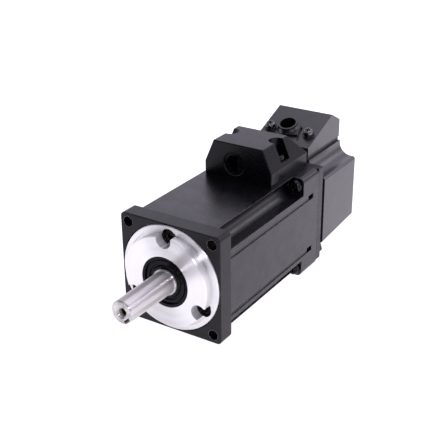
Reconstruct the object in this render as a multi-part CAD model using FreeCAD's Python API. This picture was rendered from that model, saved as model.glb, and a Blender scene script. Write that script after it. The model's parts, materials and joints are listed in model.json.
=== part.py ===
import FreeCAD, Part
import math
import os
from FreeCAD import Vector

# Square-frame brushless servo motor that drives a robot joint.
# The shaft axis is Y with the output end towards -Y, Z is up, and the origin
# is the centre of the flange's mounting face. All sizes are in millimetres.

# Motor body
frame = 60.0
flange_depth = 9.7
flange_corner = 2.5
housing_corner = 3.0
bell_depth = 4.8
edge_break = 0.4
seam_break = 0.15
stator_bore = 54.1
slip = 0.05

# Mounting holes and the notches behind them
hole_spacing = 50.6
hole_diameter = 5.6
notch_radius = 5.2
notch_land = 17.8

# Long grooves in both sides of the housing
groove_height = 16.3
groove_width = 3.2
groove_depth = 0.6
groove_land = 6.3
groove_pocket_length = 4.5
groove_pocket_depth = 3.0

# Pilot hub, its seat in the flange and its three screws
pilot_diameter = 50.0
pilot_height = 5.0
hub_rim = 4.1
hub_depth = 7.2
hub_proud = 0.3
hub_seat_gap = 0.6
pilot_edge = 0.5
foot_groove_width = 1.3
foot_groove_depth = 0.4
hub_screw_count = 3
hub_screw_circle = 46.4
hub_screw_shank = 4.0
counterbore_diameter = 8.8
counterbore_floor = 2.3

# Shaft seal
seal_bore = 28.0
seal_width = 7.0
seal_recess = 0.3
seal_seat_diameter = 14.2

# Output shaft
shaft_diameter = 12.7
shaft_reach = 39.6
shaft_edge = 0.7
seat_start = 5.6
key_width = 4.0
key_depth = 2.5
key_length = 22.5
key_angle = -50.0
centre_thread = 4.2
centre_depth = 12.0
centre_sink = 6.4

# Bearings: bore, outside, width, ball diameter, number of balls
front_bore = 15.0
front_outside = 35.0
front_width = 11.0
front_ball = 6.0
front_balls = 8
rear_bore = 10.0
rear_outside = 30.0
rear_width = 9.0
rear_ball = 5.6
rear_balls = 7
ring_wall = 2.9
race_gap = 0.06
cage_wall = 1.8
pocket_gap = 0.2
seat_lip = 2.0
ring_thickness = 1.1
ring_groove = 0.5

# Stator and rotor
core_length = 58.3
slot_count = 12
slot_depth = 7.3
yoke = 4.6
tooth_width = 4.4
tooth_tip = 1.6
slot_mouth = 1.8
rotor_gap = 0.7
magnet_thickness = 2.2
magnet_count = 8
magnet_span = 38.0
rotor_seat = 17.0
shaft_shoulder = 19.0
tail_diameter = 14.0
insulator_thickness = 1.0
coil_thickness = 1.9
end_turn = 3.2
end_turn_gap = 2.3

# Rear end bell and its screws
bell_tower = 10.8
spring_height = 1.0
tail_hole = 13.0
bell_chamfer = 2.7
bell_pad = 3.0
pad_inset = 0.6
lug_top = 18.4
lug_foot = 24.0
lug_width = 4.0
end_screw_shank = 4.0
end_screw_head = 7.6
end_screw_head_height = 3.4
end_screw_reach = 4.5

# Encoder
encoder_seat = 8.0
encoder_tail = 16.0
disc_diameter = 30.0
disc_thickness = 1.0
encoder_hub_diameter = 16.0
encoder_hub_length = 10.0
encoder_hub_gap = 2.0
read_gap = 0.6
read_head_width = 10.0
read_head_reach = 6.0
read_head_rim = 1.0
board_diameter = 46.0
board_thickness = 1.6
board_flat = 3.0
chip_thickness = 1.2
main_chip = 8.0
small_chip_width = 5.0
small_chip_height = 6.0
small_chip_place = -11.5
standoff_length = 17.0
standoff_diameter = 5.5
standoff_count = 3
standoff_circle = 38.0
standoff_reach = 3.5
standoff_thread = 6.0
board_screw_reach = 5.0
connector_width = 14.0
connector_height = 5.0
connector_length = 6.0
connector_foot = 8.0
connector_wall = 1.2
connector_floor = 1.5

# Encoder cover
cover_half = 29.0
cover_length = 39.8
cover_wall = 2.2
cover_chamfer_front = 9.1
cover_chamfer_rear = 11.9
shoulder_height = 20.5
shoulder_half = 18.5
shoulder_arc = 7.5
shoulder_edge = 1.6
cover_top = 29.1
cover_gasket_thickness = 2.0
gasket_inset = 0.9
cover_screw_height = 13.0
cover_screw_reach = 4.0

# Encoder cap on top of the cover
cap_half = 17.6
cap_length = 39.8
cap_wall = 2.2
cap_gasket_thickness = 2.5
cap_gasket_inset = 0.4
cap_nose = 4.7
cap_ridge_height = 48.0
cap_ridge_place = 29.3
cap_back_height = 42.3
cap_screw_spacing = 25.0
cap_screw_place = 10.8
cap_screw_reach = 6.0
cap_window = 9.0
post_half = 2.5
washer_diameter = 7.4
washer_thickness = 0.7
lock_washer_diameter = 5.8
lock_washer_thickness = 0.9
outlet_place = 13.3
outlet_offset = -1.9
outlet_foot = 14.0
outlet_neck = 11.2
outlet_bore = 9.4
outlet_spigot = 12.6
outlet_rise = 4.0
outlet_flare = 2.8
outlet_block = 1.4
outlet_block_bevel = 38.5
slit_width = 1.2
slit_length = 10.6
slit_depth = 1.5
slit_turn = 12.8
slit_gap = 0.1
slit_start = 0.4

# Terminal box on top of the housing
box_land = 38.1
box_length = 39.8
box_half = 21.1
box_side_height = 6.0
box_height = 19.0
box_top_half = 15.5
box_top_length = 26.2
box_wall = 2.2
box_edge = 0.6
terminal_gasket_thickness = 1.6
gland_height = 7.4
gland_offset = -2.4
gland_bore = 12.6
gland_edge = 0.4
bush_wall = 1.3
pocket_place = 16.8
pocket_width = 9.2
pocket_reach = 10.0
pocket_floor = 8.4
box_screw_shank = 4.0
box_screw_reach = 5.6
lead_slot_width = 18.0
lead_slot_length = 6.0
block_width = 15.0
block_length = 10.0
block_height = 7.5
stud_diameter = 1.8
stud_count = 4

# Small screws
small_shank = 3.0
small_head = 5.8
small_head_height = 2.4
board_head = 5.2
board_head_height = 1.8
recess_width = 1.0

# Stations along the shaft, worked out from the sizes above
half = frame / 2
hub_diameter = pilot_diameter + 2 * hub_rim
front_bearing_start = hub_depth
front_bearing_end = front_bearing_start + front_width
flange_tower_end = front_bearing_end + seat_lip
end_space = insulator_thickness + end_turn + end_turn_gap
core_start = flange_tower_end + end_space
core_end = core_start + core_length
bell_tower_start = core_end + end_space
housing_end = bell_tower_start + bell_tower
bell_end = housing_end + bell_depth
pad_end = bell_end + bell_pad
cover_start = pad_end + cover_gasket_thickness
cover_end = cover_start + cover_length
rear_bearing_end = housing_end
rear_bearing_start = rear_bearing_end - rear_width
shaft_end = pad_end + encoder_tail
hole_place = hole_spacing / 2
notch_end = housing_end - notch_land
groove_end = housing_end - groove_land
box_start = housing_end - box_land
box_floor = half + terminal_gasket_thickness
cap_start = cover_end - cap_length
cap_ridge = cap_start + cap_ridge_place
cap_floor = cover_top + cap_gasket_thickness
cap_screw_seat = washer_thickness + lock_washer_thickness
stator_inner = stator_bore / 2
rotor_outer = stator_inner - slip - yoke
across = Vector(1, 0, 0)
along = Vector(0, 1, 0)
up = Vector(0, 0, 1)
centre = Vector(0, 0, 0)

pieces = {}


# Basic shapes

def rod(radius, start, end, x=0.0, z=0.0):
    return Part.makeCylinder(radius, end - start, Vector(x, start, z), along)


def tube(outer, inner, start, end, x=0.0, z=0.0):
    return rod(outer, start, end, x, z).cut(rod(inner, start, end, x, z))


def block(x_low, x_high, y_low, y_high, z_low, z_high):
    corner = Vector(x_low, y_low, z_low)
    return Part.makeBox(x_high - x_low, y_high - y_low, z_high - z_low, corner)


def face_of(points):
    return Part.Face(Part.makePolygon(points + points[:1]))


def turned(outline):
    """Solid of revolution about the shaft axis from (radius, station) points."""
    face = face_of([Vector(radius, station, 0) for radius, station in outline])
    solid = face.revolve(centre, along, 360)
    return solid if solid.Volume > 0 else solid.reversed()


def edges_along(shape, direction):
    found = []
    for edge in shape.Edges:
        if not isinstance(edge.Curve, Part.Line):
            continue
        if abs(edge.Curve.Direction.dot(direction)) > 0.9999:
            found.append(edge)
    return found


def four_corners(x, z):
    return [(x, z), (-x, z), (-x, -z), (x, -z)]


def spun(shape, angle):
    return shape.rotated(centre, along, angle)


def ring_of(shape, count, start=0.0):
    return [spun(shape, start + index * 360.0 / count) for index in range(count)]


def aimed(shape, place, direction):
    """Moves a shape drawn standing on Z to a place, with Z turned to a direction."""
    moved = shape.copy()
    moved.Placement = FreeCAD.Placement(place, FreeCAD.Rotation(up, direction)).multiply(shape.Placement)
    return moved


def fused(shapes):
    return shapes[0].multiFuse(shapes[1:]).removeSplitter()


def keep(name, *solids):
    pieces[name] = list(solids)


# Screws stand on Z with the seat of the head at zero

def cross_recess(head_radius, top, depth):
    arm = head_radius * 0.62
    bar = Part.makeBox(2 * arm, recess_width, depth, Vector(-arm, -recess_width / 2, top - depth))
    return bar.fuse(bar.rotated(centre, up, 90))


def cross_screw(shank, head, head_height, length):
    crown = Part.makeCylinder(head / 2, head_height)
    rim = [edge for edge in crown.Edges if abs(edge.BoundBox.ZMin - head_height) < 1e-6]
    crown = crown.makeFillet(head_height * 0.45, rim)
    crown = crown.cut(cross_recess(head / 2, head_height, head_height * 0.6))
    return crown.fuse(Part.makeCylinder(shank / 2, length, Vector(0, 0, -length))).removeSplitter()


def socket_screw(shank, length):
    head = 1.75 * shank
    crown = Part.makeCylinder(head / 2, shank)
    rim = [edge for edge in crown.Edges if abs(edge.BoundBox.ZMin - shank) < 1e-6]
    crown = crown.makeChamfer(shank * 0.08, rim)
    corners = [Vector(shank * 0.43, 0, shank)]
    for step in range(1, 6):
        turn = math.radians(60 * step)
        corners.append(Vector(shank * 0.43 * math.cos(turn), shank * 0.43 * math.sin(turn), shank))
    crown = crown.cut(face_of(corners).extrude(Vector(0, 0, -shank * 0.55)))
    return crown.fuse(Part.makeCylinder(shank / 2, length, Vector(0, 0, -length))).removeSplitter()


# Front flange with the bearing tower behind it

def square_plate(start, end, corner):
    plate = block(-half, half, start, end, -half, half)
    return plate.makeFillet(corner, edges_along(plate, along))


def front_flange():
    plate = square_plate(0, flange_depth, flange_corner)
    plate = broken_edges(plate, 0, edge_break)
    body = plate.fuse(rod(stator_inner - slip, flange_depth, flange_tower_end))
    body = body.cut(rod(hub_diameter / 2 + hub_seat_gap, 0, hub_depth))
    body = body.cut(rod(front_outside / 2 + slip, hub_depth, front_bearing_end))
    body = body.cut(rod(front_outside / 2 - seat_lip, front_bearing_end, flange_tower_end))
    for x, z in four_corners(hole_place, hole_place):
        body = body.cut(rod(hole_diameter / 2, 0, flange_depth, x, z))
    thread = rod(hub_screw_shank / 2 + slip, hub_depth, flange_tower_end, 0, hub_screw_circle / 2)
    for hole in ring_of(thread, hub_screw_count):
        body = body.cut(hole)
    return body.removeSplitter()


def broken_edges(shape, station, size):
    """Bevels the outer edges of an end face that lies at a station."""
    rim = []
    for edge in shape.Edges:
        box = edge.BoundBox
        if abs(box.YMin - station) < 1e-6 and abs(box.YMax - station) < 1e-6:
            rim.append(edge)
    return shape.makeChamfer(size, rim)


# Pilot hub: machined disc that centres the motor, carries the seal and holds the bearing

def pilot_hub():
    pilot = pilot_diameter / 2
    disc = hub_diameter / 2
    foot = pilot + foot_groove_width
    seal_end = seal_width - pilot_height + seal_recess
    outline = [
        (seal_bore / 2, -pilot_height), (pilot - pilot_edge, -pilot_height),
        (pilot, pilot_edge - pilot_height), (pilot, foot_groove_depth - hub_proud),
        (foot, foot_groove_depth - hub_proud), (foot, -hub_proud),
        (disc - edge_break, -hub_proud), (disc, edge_break - hub_proud), (disc, hub_depth),
        (shaft_shoulder / 2 + 1, hub_depth), (shaft_shoulder / 2 + 1, seal_end), (seal_bore / 2, seal_end)]
    hub = turned(outline)
    reach = hub_screw_circle / 2
    floor = hub_depth - counterbore_floor
    well = rod(counterbore_diameter / 2, -pilot_height, floor, 0, reach)
    well = well.fuse(rod(hub_screw_shank / 2 + 3 * slip, floor, hub_depth, 0, reach))
    for hole in ring_of(well, hub_screw_count):
        hub = hub.cut(hole)
    return hub


def hub_screws():
    floor = hub_depth - counterbore_floor
    screw = socket_screw(hub_screw_shank, flange_tower_end - floor - 1)
    screw = aimed(screw, Vector(0, floor, hub_screw_circle / 2), -along)
    return ring_of(screw, hub_screw_count)


# Shaft seal with a sprung lip, and its garter spring

def shaft_seal():
    outer = seal_bore / 2 - slip
    inner = seal_seat_diameter / 2 + slip
    face = seal_recess - pilot_height
    back = face + seal_width
    wall = 1.9
    web = 1.2
    outline = [
        (outer, face), (outer, back), (outer - wall, back), (outer - wall, face + 2 * web),
        (inner + 1.6, face + 2 * web), (inner + 1.2, back - 2.2), (inner + 2.2, back - 1.6),
        (inner + 2.2, back - 0.6), (inner + 0.9, back - 0.4), (inner, back - 1.6),
        (inner + 0.9, face + web), (inner, face + 0.6), (inner + 0.3, face + 0.1),
        (inner + 1.2, face + 0.4), (inner + 1.8, face + web), (inner + 2.6, face + web),
        (inner + 2.9, face + 0.5), (outer - wall - 0.6, face + 0.5), (outer - wall - 0.3, face + web),
        (outer - wall + 0.2, face + web), (outer - wall + 0.5, face)]
    return turned(outline)


def seal_spring():
    wire = 0.5
    ring = seal_seat_diameter / 2 + slip + 2.2 + wire + slip
    back = seal_recess - pilot_height + seal_width
    return Part.makeTorus(ring, wire, Vector(0, back - 1.1, 0), along)


# Output shaft, turned in one piece from the keyed end to the encoder seat

def output_shaft():
    drive = shaft_diameter / 2
    seal = seal_seat_diameter / 2
    front = front_bore / 2 - slip / 5
    rear = rear_bore / 2 - slip / 5
    groove = front_bearing_start - ring_thickness - slip
    outline = [
        (0, -shaft_reach), (drive - shaft_edge, -shaft_reach), (drive, shaft_edge - shaft_reach),
        (drive, -seat_start), (seal - edge_break, -seat_start), (seal, edge_break - seat_start),
        (seal, groove - 2), (front, groove - 2), (front, groove),
        (front - ring_groove, groove), (front - ring_groove, front_bearing_start),
        (front, front_bearing_start), (front, front_bearing_end),
        (shaft_shoulder / 2, front_bearing_end), (shaft_shoulder / 2, core_start - 2),
        (rotor_seat / 2, core_start - 2), (rotor_seat / 2, core_end),
        (tail_diameter / 2, core_end), (tail_diameter / 2, rear_bearing_start),
        (rear, rear_bearing_start), (rear, pad_end),
        (encoder_seat / 2, pad_end), (encoder_seat / 2, shaft_end - edge_break),
        (encoder_seat / 2 - edge_break, shaft_end), (0, shaft_end)]
    shaft = turned(outline)
    shaft = shaft.cut(rod(centre_thread / 2, -shaft_reach, centre_depth - shaft_reach))
    sink_depth = (centre_sink - centre_thread) / 2
    sink = Part.makeCone(centre_sink / 2, centre_thread / 2, sink_depth, Vector(0, -shaft_reach, 0), along)
    return shaft.cut(sink).cut(keyway())


def keyway():
    """Closed-end slot milled from the shaft's end, rounded where the cutter stops."""
    floor = shaft_diameter / 2 - key_depth
    end = key_length - shaft_reach - key_width / 2
    slot = block(floor, shaft_diameter, -shaft_reach, end, -key_width / 2, key_width / 2)
    slot = slot.fuse(Part.makeCylinder(key_width / 2, shaft_diameter - floor, Vector(floor, end, 0), across))
    return spun(slot, -key_angle)


def retaining_ring():
    inner = front_bore / 2 - slip / 5 - ring_groove + slip
    start = front_bearing_start - ring_thickness
    ring = tube(inner + 1.9, inner, start, front_bearing_start - slip)
    return ring.cut(block(-1.6, 1.6, start, front_bearing_start, 0, 2 * inner))


# Ball bearings: two grooved rings, a ring of balls and a pocketed cage

def race(bore, outside, ball, start, width):
    track = (bore + outside) / 4
    return Part.makeTorus(track, ball / 2 + race_gap, Vector(0, start + width / 2, 0), along)


def bearing_rings(bore, outside, ball, start, width):
    track = race(bore, outside, ball, start, width)
    outer = tube(outside / 2, outside / 2 - ring_wall, start, start + width).cut(track)
    inner = tube(bore / 2 + ring_wall, bore / 2, start, start + width).cut(track)
    return outer, inner


def bearing_balls(bore, outside, ball, count, start, width):
    seed = Part.makeSphere(ball / 2, Vector((bore + outside) / 4, start + width / 2, 0))
    return ring_of(seed, count)


def bearing_cage(bore, outside, ball, count, start, width):
    track = (bore + outside) / 4
    reach = ball / 2 + 0.9
    middle = start + width / 2
    cage = tube(track + cage_wall / 2, track - cage_wall / 2, middle - reach, middle + reach)
    pocket = Part.makeCylinder(ball / 2 + pocket_gap, 2 * ball, Vector(track - ball, middle, 0), across)
    for hole in ring_of(pocket, count):
        cage = cage.cut(hole)
    return cage


def bearing(name, bore, outside, ball, count, start, width):
    outer, inner = bearing_rings(bore, outside, ball, start, width)
    keep(name + "_bearing_outer_ring", outer)
    keep(name + "_bearing_inner_ring", inner)
    keep(name + "_bearing_balls", *bearing_balls(bore, outside, ball, count, start, width))
    keep(name + "_bearing_cage", bearing_cage(bore, outside, ball, count, start, width))


# Stator housing: square extrusion with open corner notches and side grooves

def corner_notch(x, z):
    """Cutter for one bolt notch: round bottom, open to the side and to the top."""
    side = 1 if x > 0 else -1
    top = 1 if z > 0 else -1
    cutter = rod(notch_radius, flange_depth, notch_end, x, z)
    x_low, x_high = sorted((x, side * (half + 1)))
    z_low, z_high = sorted((z - top * notch_radius, top * (half + 1)))
    return cutter.fuse(block(x_low, x_high, flange_depth, notch_end, z_low, z_high))


def side_groove(side, height):
    """Long groove with a deeper pocket at its rear end."""
    z_low = height - groove_width / 2
    z_high = z_low + groove_width
    x_low, x_high = sorted((side * (half - groove_depth), side * (half + 1)))
    groove = block(x_low, x_high, flange_depth, groove_end, z_low, z_high)
    x_low, x_high = sorted((side * (half - groove_pocket_depth), side * (half + 1)))
    return groove.fuse(block(x_low, x_high, groove_end - groove_pocket_length, groove_end, z_low, z_high))


def stator_housing():
    body = square_plate(flange_depth, housing_end, housing_corner)
    body = broken_edges(body, housing_end, seam_break)
    body = body.cut(rod(stator_inner, flange_depth, housing_end))
    for x, z in four_corners(hole_place, hole_place):
        body = body.cut(corner_notch(x, z))
        body = body.cut(rod(end_screw_shank / 2 + 3 * slip, notch_end, housing_end, x, z))
    for side in (-1, 1):
        for height in (-groove_height, groove_height):
            body = body.cut(side_groove(side, height))
    slot_start = lead_slot_start()
    body = body.cut(block(-lead_slot_width / 2, lead_slot_width / 2, slot_start,
                          slot_start + lead_slot_length, 0, half))
    for side in (-1, 1):
        thread = Part.makeCylinder(box_screw_shank / 2 + slip, box_screw_reach + 0.4,
                                   Vector(side * pocket_x(), pocket_y(), half), -up)
        body = body.cut(thread)
    return body.removeSplitter()


def lead_slot_start():
    return core_end + insulator_thickness + 0.5


# Stator core of slotted sheets, end insulators and the coils on its teeth

def slot_cutter(start, length):
    """One slot between two teeth, with its narrow mouth at the bore."""
    bore = rotor_outer - slot_depth
    pitch = math.radians(180.0 / slot_count)
    floor = rotor_outer
    low = bore + tooth_tip
    low_half = low * math.tan(pitch) - tooth_width / 2 / math.cos(pitch)
    high_half = floor * math.tan(pitch) - tooth_width / 2 / math.cos(pitch)
    points = [
        (-slot_mouth / 2, bore - 1), (slot_mouth / 2, bore - 1), (slot_mouth / 2, low - 0.6),
        (low_half, low), (high_half, floor), (-high_half, floor),
        (-low_half, low), (-slot_mouth / 2, low - 0.6)]
    face = face_of([Vector(x, start, z) for x, z in points])
    return face.extrude(Vector(0, length, 0))


def slotted_ring(start, length):
    ring = tube(stator_inner - slip, rotor_outer - slot_depth, start, start + length)
    cutter = slot_cutter(start, length)
    return ring.cut(Part.makeCompound(ring_of(cutter, slot_count, 180.0 / slot_count)))


def end_insulators():
    front = slotted_ring(core_start - insulator_thickness, insulator_thickness)
    rear = slotted_ring(core_end, insulator_thickness)
    return front, rear


def coil():
    """Closed loop round one tooth, with rounded end turns past the core."""
    inner_half = tooth_width / 2 + 4 * slip
    outer_half = inner_half + coil_thickness
    low = rotor_outer - slot_depth + tooth_tip + 0.8
    high = rotor_outer - 0.6
    start = core_start - insulator_thickness
    end = core_end + insulator_thickness
    loop = block(-outer_half, outer_half, start - end_turn, end + end_turn, low, high)
    loop = loop.makeFillet(coil_thickness, edges_along(loop, up))
    return loop.cut(block(-inner_half, inner_half, start, end, low, high))


# Rotor: core on the shaft with curved magnets round it

def magnet_seat():
    return rotor_outer - slot_depth - rotor_gap - magnet_thickness


def rotor_core():
    return tube(magnet_seat(), rotor_seat / 2, core_start, core_end)


def rotor_magnets():
    outer = magnet_seat() + magnet_thickness
    ring = tube(outer, magnet_seat(), core_start, core_end)
    reach = 2 * outer
    turn = math.radians(magnet_span / 2)
    wedge = face_of([
        Vector(0, core_start, 0), Vector(reach * math.sin(turn), core_start, reach * math.cos(turn)),
        Vector(-reach * math.sin(turn), core_start, reach * math.cos(turn))])
    magnet = ring.common(wedge.extrude(Vector(0, core_length, 0)))
    return ring_of(magnet, magnet_count)


# Rear end bell with the rear bearing seat in its tower

def bell_plate():
    """Square plate with small rounds on its upper corners and bevels on its lower ones."""
    plate = block(-half, half, housing_end, bell_end, -half, half)
    lower = [edge for edge in edges_along(plate, along) if edge.BoundBox.ZMax < 0]
    plate = plate.makeChamfer(bell_chamfer, lower)
    upper = [edge for edge in edges_along(plate, along) if edge.BoundBox.ZMin > 0]
    plate = plate.makeFillet(edge_break * 2, upper)
    return broken_edges(plate, housing_end, seam_break)


def bell_lug(side):
    """Small foot beside the pad that runs out to the side of the bell."""
    inner = cover_half - pad_inset
    points = [(inner - lug_width, -lug_top), (inner, -lug_top), (half, edge_break - lug_foot),
              (half, -lug_foot), (inner - lug_width, -lug_foot)]
    face = face_of([Vector(side * x, bell_end, z) for x, z in points])
    return face.extrude(Vector(0, bell_pad, 0))


def rear_end_bell():
    tower = tube(stator_inner - slip, rear_outside / 2 + slip, bell_tower_start, housing_end)
    pad = cover_form(pad_inset, bell_end, pad_end)
    body = fused([bell_plate(), tower, pad, bell_lug(-1), bell_lug(1)])
    body = body.cut(rod(rear_outside / 2 + slip, housing_end, housing_end + spring_height))
    body = body.cut(rod(tail_hole / 2, housing_end, pad_end))
    for x, z in four_corners(hole_place, hole_place):
        body = body.cut(rod(end_screw_shank / 2 + slip, housing_end, housing_end + end_screw_reach, x, z))
    thread = rod(small_shank / 2 + slip, pad_end - standoff_reach - 0.5, pad_end, 0, standoff_circle / 2)
    for hole in ring_of(thread, standoff_count, 90):
        body = body.cut(hole)
    for x, z in cover_screw_places():
        body = body.cut(rod(small_shank / 2 + slip, pad_end - cover_screw_reach - 0.5, pad_end, x, z))
    return body.removeSplitter()


def preload_spring():
    """Coned disc spring that pushes the rear bearing's outer ring forward."""
    outer = rear_outside / 2 - 0.3
    inner = rear_outside / 2 - ring_wall + 0.4
    low = housing_end
    high = housing_end + spring_height
    sheet = 0.4
    return turned([(outer, low), (outer, low + sheet), (inner, high), (inner, high - sheet)])


def end_bell_screws():
    length = housing_end - notch_end + end_screw_reach - 0.5
    screw = cross_screw(end_screw_shank, end_screw_head, end_screw_head_height, length)
    return [aimed(screw, Vector(x, notch_end, z), -along) for x, z in four_corners(hole_place, hole_place)]


# Encoder on the shaft's tail: hub, slotted disc, board on three standoffs

def encoder_hub():
    start = pad_end + encoder_hub_gap
    radius = encoder_hub_diameter / 2
    outline = [
        (encoder_seat / 2 + slip, start), (radius - 2, start), (radius - 2, start + encoder_hub_length - 3),
        (radius, start + encoder_hub_length - 3), (radius, start + encoder_hub_length),
        (encoder_seat / 2 + slip, start + encoder_hub_length)]
    return turned(outline)


def encoder_disc():
    start = pad_end + encoder_hub_gap + encoder_hub_length
    disc = tube(disc_diameter / 2, encoder_seat / 2 + slip, start, start + disc_thickness)
    window = rod(1.0, start, start + disc_thickness, 0, disc_diameter / 2 - 2.5)
    for hole in ring_of(window, 12):
        disc = disc.cut(hole)
    return disc


def encoder_board():
    """Round board with a flat at the bottom, the read head in front and two chips behind."""
    start = pad_end + standoff_length
    back = start + board_thickness
    board = rod(board_diameter / 2, start, back)
    board = board.cut(block(-half, half, start, back, -half, board_flat - board_diameter / 2))
    head_front = pad_end + encoder_hub_gap + encoder_hub_length + disc_thickness + read_gap
    rim = disc_diameter / 2
    head = block(-read_head_width / 2, read_head_width / 2, head_front, start,
                 rim - read_head_reach, rim + read_head_rim)
    chips = []
    for place, wide, tall in ((0, main_chip, main_chip), (small_chip_place, small_chip_width, small_chip_height)):
        chips.append(block(place - wide / 2, place + wide / 2, back, back + chip_thickness, -tall / 2, tall / 2))
    board = fused([board, head] + chips)
    screw_hole = rod(small_shank / 2 + 2 * slip, start, back, 0, standoff_circle / 2)
    for hole in ring_of(screw_hole, standoff_count, 90):
        board = board.cut(hole)
    return board


def standoffs():
    reach = standoff_circle / 2
    top = pad_end + standoff_length
    post = rod(standoff_diameter / 2, pad_end, top, 0, reach)
    post = post.fuse(rod(small_shank / 2, pad_end - standoff_reach, pad_end, 0, reach))
    post = post.cut(rod(small_shank / 2 + slip, top - standoff_thread, top, 0, reach))
    return ring_of(post.removeSplitter(), standoff_count, 90)


def board_screws():
    seat = pad_end + standoff_length + board_thickness
    length = board_thickness + board_screw_reach
    screw = cross_screw(small_shank, board_head, board_head_height, length)
    screw = aimed(screw, Vector(0, seat, standoff_circle / 2), along)
    return ring_of(screw, standoff_count, 90)


def board_connector():
    start = pad_end + standoff_length + board_thickness
    end = start + connector_length
    wide = connector_width / 2
    top = connector_foot + connector_height
    shell = block(-wide, wide, start, end, connector_foot, top)
    wall = connector_wall
    opening = block(wall - wide, wide - wall, start + connector_floor, end, connector_foot + wall, top - wall)
    return shell.cut(opening)


# Encoder cover, gaskets and cap

def cover_corner(side, inset, station):
    """Triangle over a lower corner of the cover at a station; its long side lies on the slanted bevel."""
    share = (station - cover_start) / cover_length
    leg = cover_chamfer_front + (cover_chamfer_rear - cover_chamfer_front) * share
    leg = leg - inset * (2 - math.sqrt(2))
    beyond = cover_half - inset + 1
    points = [Vector(side * beyond, station, -beyond), Vector(side * beyond, station, leg + 2 - beyond),
              Vector(side * (beyond - leg - 2), station, -beyond)]
    return Part.makePolygon(points + points[:1])


def cover_form(inset, start, end):
    """Outer form of the cover, shrunk inwards by an inset."""
    wide = cover_half - inset
    top = cover_top - inset
    body = block(-wide, wide, start, end, -wide, top)
    for side in (-1, 1):
        corners = [cover_corner(side, inset, start), cover_corner(side, inset, end)]
        body = body.cut(Part.makeLoft(corners, True))
    ledge = shoulder_height - inset
    turn_x = shoulder_half + shoulder_arc
    turn_z = shoulder_height + shoulder_arc
    for side in (-1, 1):
        arc = rod(shoulder_arc + inset, start, end, side * turn_x, turn_z)
        x_low, x_high = sorted((side * turn_x, side * (wide + 1)))
        outside = block(x_low, x_high, start, end, ledge, cover_top + 1)
        x_low, x_high = sorted((side * (shoulder_half - inset), side * (wide + 1)))
        above = block(x_low, x_high, start, end, turn_z, cover_top + 1)
        body = body.cut(arc.fuse(outside).fuse(above))
    return body.removeSplitter()


def encoder_cover():
    body = cover_form(0, cover_start, cover_end)
    rims = []
    for edge in edges_along(body, along):
        box = edge.BoundBox
        if abs(box.ZMin - shoulder_height) < 1e-3 and abs(abs(box.XMin) - cover_half) < 1e-3:
            rims.append(edge)
    body = body.makeFillet(shoulder_edge, rims)
    body = body.cut(cover_form(cover_wall, cover_start, cover_end - cover_wall))
    body = body.cut(block(-cap_window, cap_window, cap_start + 6, cover_end - 8, shoulder_height, cover_top))
    for side in (-1, 1):
        body = body.fuse(cap_post(side))
    for x, z in cover_screw_places():
        body = body.fuse(rod(small_shank / 2 + 1.8, cover_start, cover_end - cover_wall, x, z))
        body = body.cut(rod(small_shank / 2 + 2 * slip, cover_start, cover_end, x, z))
        body = body.cut(rod(small_head / 2 + 2 * slip, cover_end - small_head_height, cover_end, x, z))
    return body.removeSplitter()


def cover_screw_places():
    reach = cover_half - cover_wall - small_shank / 2 - 0.6
    return four_corners(reach, cover_screw_height)


def cover_screws():
    length = cover_end - small_head_height - pad_end + cover_screw_reach
    screw = cross_screw(small_shank, small_head, small_head_height - 0.2, length)
    return [aimed(screw, Vector(x, cover_end - small_head_height, z), along) for x, z in cover_screw_places()]


def cover_gasket():
    outer = cover_form(gasket_inset, pad_end, cover_start)
    gasket = outer.cut(cover_form(cover_wall, pad_end, cover_start))
    for x, z in cover_screw_places():
        gasket = gasket.fuse(rod(small_shank / 2 + 1.8, pad_end, cover_start, x, z))
        gasket = gasket.cut(rod(small_shank / 2 + 2 * slip, pad_end, cover_start, x, z))
    return gasket.removeSplitter()


def slope_turn():
    """Direction square to the cap's front slope."""
    run = cap_ridge - cap_start
    rise = cap_ridge_height - cap_floor - cap_nose
    length = math.hypot(run, rise)
    return Vector(0, -rise / length, run / length)


def slope_point(distance, x=0.0):
    """Point on the slope at a distance up from its lower edge."""
    square = slope_turn()
    return Vector(x, cap_start + distance * square.z, cap_floor + cap_nose - distance * square.y)


def cap_profile(inset, floor):
    """Side outline of the cap, shrunk inwards by an inset and standing on a floor height."""
    square = slope_turn()
    nose = cap_floor + cap_nose
    start = cap_start + inset
    end = cover_end - inset
    back_run = cover_end - cap_ridge
    back_rise = cap_ridge_height - cap_back_height
    back_length = math.hypot(back_run, back_rise)
    slope = -square.y / square.z
    fall = back_rise / back_run
    drop = inset / square.z
    back_drop = inset * back_length / back_run
    nose_z = nose + inset * slope - drop
    back_z = cap_back_height + inset * fall - back_drop
    ridge_y = cap_ridge + (drop - back_drop) / (slope + fall)
    ridge_z = cap_ridge_height - drop + slope * (ridge_y - cap_ridge)
    return [(start, floor), (start, nose_z), (ridge_y, ridge_z), (end, back_z), (end, floor)]


def cap_form(inset, floor):
    wide = cap_half - inset
    points = [Vector(-wide, y, z) for y, z in cap_profile(inset, floor)]
    return face_of(points).extrude(Vector(2 * wide, 0, 0))


def cap_post(side):
    """Post inside the cap, cut square to the slope, that takes one cap screw."""
    x = side * cap_screw_spacing / 2
    foot = slope_point(cap_screw_place)
    post = block(x - post_half, x + post_half, foot.y - post_half + 0.5, foot.y + 3 * post_half - 0.5,
                 cover_top - cover_wall, cap_ridge_height)
    square = slope_turn()
    lid = Part.makeBox(4 * post_half, cap_length, cap_half, Vector(-2 * post_half, -cap_length / 2, 0))
    lid = aimed(lid, slope_point(cap_screw_place, x) - square * cap_wall, square)
    post = post.cut(lid)
    hole = Part.makeCylinder(small_shank / 2 + slip, cap_half, slope_point(cap_screw_place, x), -square)
    return post.cut(hole)


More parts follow.
